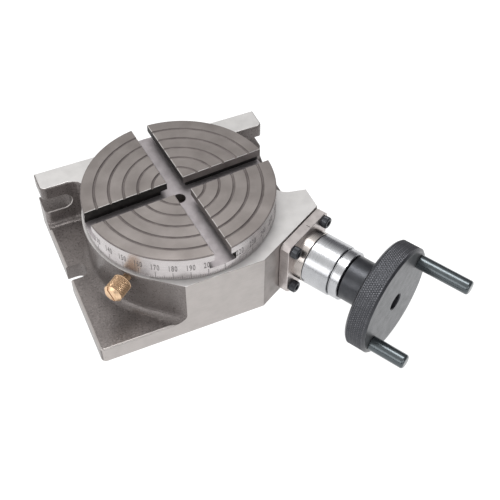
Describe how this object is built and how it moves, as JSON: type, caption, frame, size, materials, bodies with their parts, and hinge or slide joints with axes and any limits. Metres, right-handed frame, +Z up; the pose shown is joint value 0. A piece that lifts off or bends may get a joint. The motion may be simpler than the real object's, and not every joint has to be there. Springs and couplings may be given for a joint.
{
  "type": "rotary table",
  "caption": "Small horizontal and vertical rotary table: round T-slotted table turned by a handwheel through a worm and worm wheel inside a cast base.",
  "frame": {"origin": "where the table's turning axis meets the plane of the base's underside", "axes": "+Z up along the table's axis; X along the base's long front edge, with the worm and handwheel at +X; +Y towards the back flange"},
  "size_m": [0.1967, 0.1884, 0.0694],
  "materials": {
    "cast_iron_body": "as-cast, oiled, machined on its faces",
    "ground_iron": "fine turned and ground, satin",
    "ground_steel": "ground, satin",
    "satin_chrome": "satin chrome plate",
    "blackened_steel": "black oxide, semi-gloss",
    "black_gloss": "polished black oxide",
    "brass": "bare turned brass",
    "bronze": "bare bearing bronze"
  },
  "bodies": {
    "base": {"base_casting": "cast_iron_body", "spindle_bush": "bronze", "worm_bearing_flange": "ground_steel", "flange_screw_1": "blackened_steel", "flange_screw_2": "blackened_steel", "flange_screw_3": "blackened_steel", "flange_screw_4": "blackened_steel", "worm_bush_front": "bronze", "worm_bush_rear": "bronze"},
    "table": {"rotary_table": "ground_iron", "table_spindle": "ground_steel", "worm_wheel": "bronze", "wheel_screw_1": "blackened_steel", "wheel_screw_2": "blackened_steel", "wheel_screw_3": "blackened_steel", "spindle_washer": "ground_steel", "spindle_nut": "blackened_steel"},
    "worm": {"worm_shaft": "ground_steel", "dial_lock_ring": "satin_chrome", "lock_ring_screw": "blackened_steel", "handwheel": "blackened_steel", "handwheel_pin_1": "black_gloss", "handwheel_pin_2": "black_gloss", "handwheel_screw": "blackened_steel"},
    "dial": {"index_dial": "satin_chrome"},
    "lock_plug": {"table_lock_plug": "brass"},
    "lock_screw": {"table_lock_screw": "brass"}
  },
  "joints": [
    {"name": "table_turn", "type": "hinge", "parent": "base", "child": "table", "pos_m": [0, 0, 0.0415], "axis": [0, 0, 1], "continuous": true},
    {"name": "worm_turn", "type": "hinge", "parent": "base", "child": "worm", "pos_m": [0.02598, 0.0144, 0.0209], "axis": [0.4848, -0.8746, 0], "continuous": true},
    {"name": "dial_turn", "type": "hinge", "parent": "worm", "child": "dial", "pos_m": [0.02598, 0.0144, 0.0209], "axis": [0.4848, -0.8746, 0], "continuous": true},
    {"name": "lock_plug_slide", "type": "slide", "parent": "base", "child": "lock_plug", "axis": [0.8018, 0.5976, 0], "range_m": [0, 0.00045]},
    {"name": "lock_screw_turn", "type": "hinge", "parent": "lock_plug", "child": "lock_screw", "pos_m": [0, 0, 0.0355], "axis": [0.8018, 0.5976, 0], "range_deg": [0, 205]}
  ],
  "couplings": [
    {"joint": "worm_turn", "follows": "table_turn", "ratio": 72},
    {"joint": "lock_screw_turn", "follows": "lock_plug_slide", "rad_per_m": 7854}
  ]
}
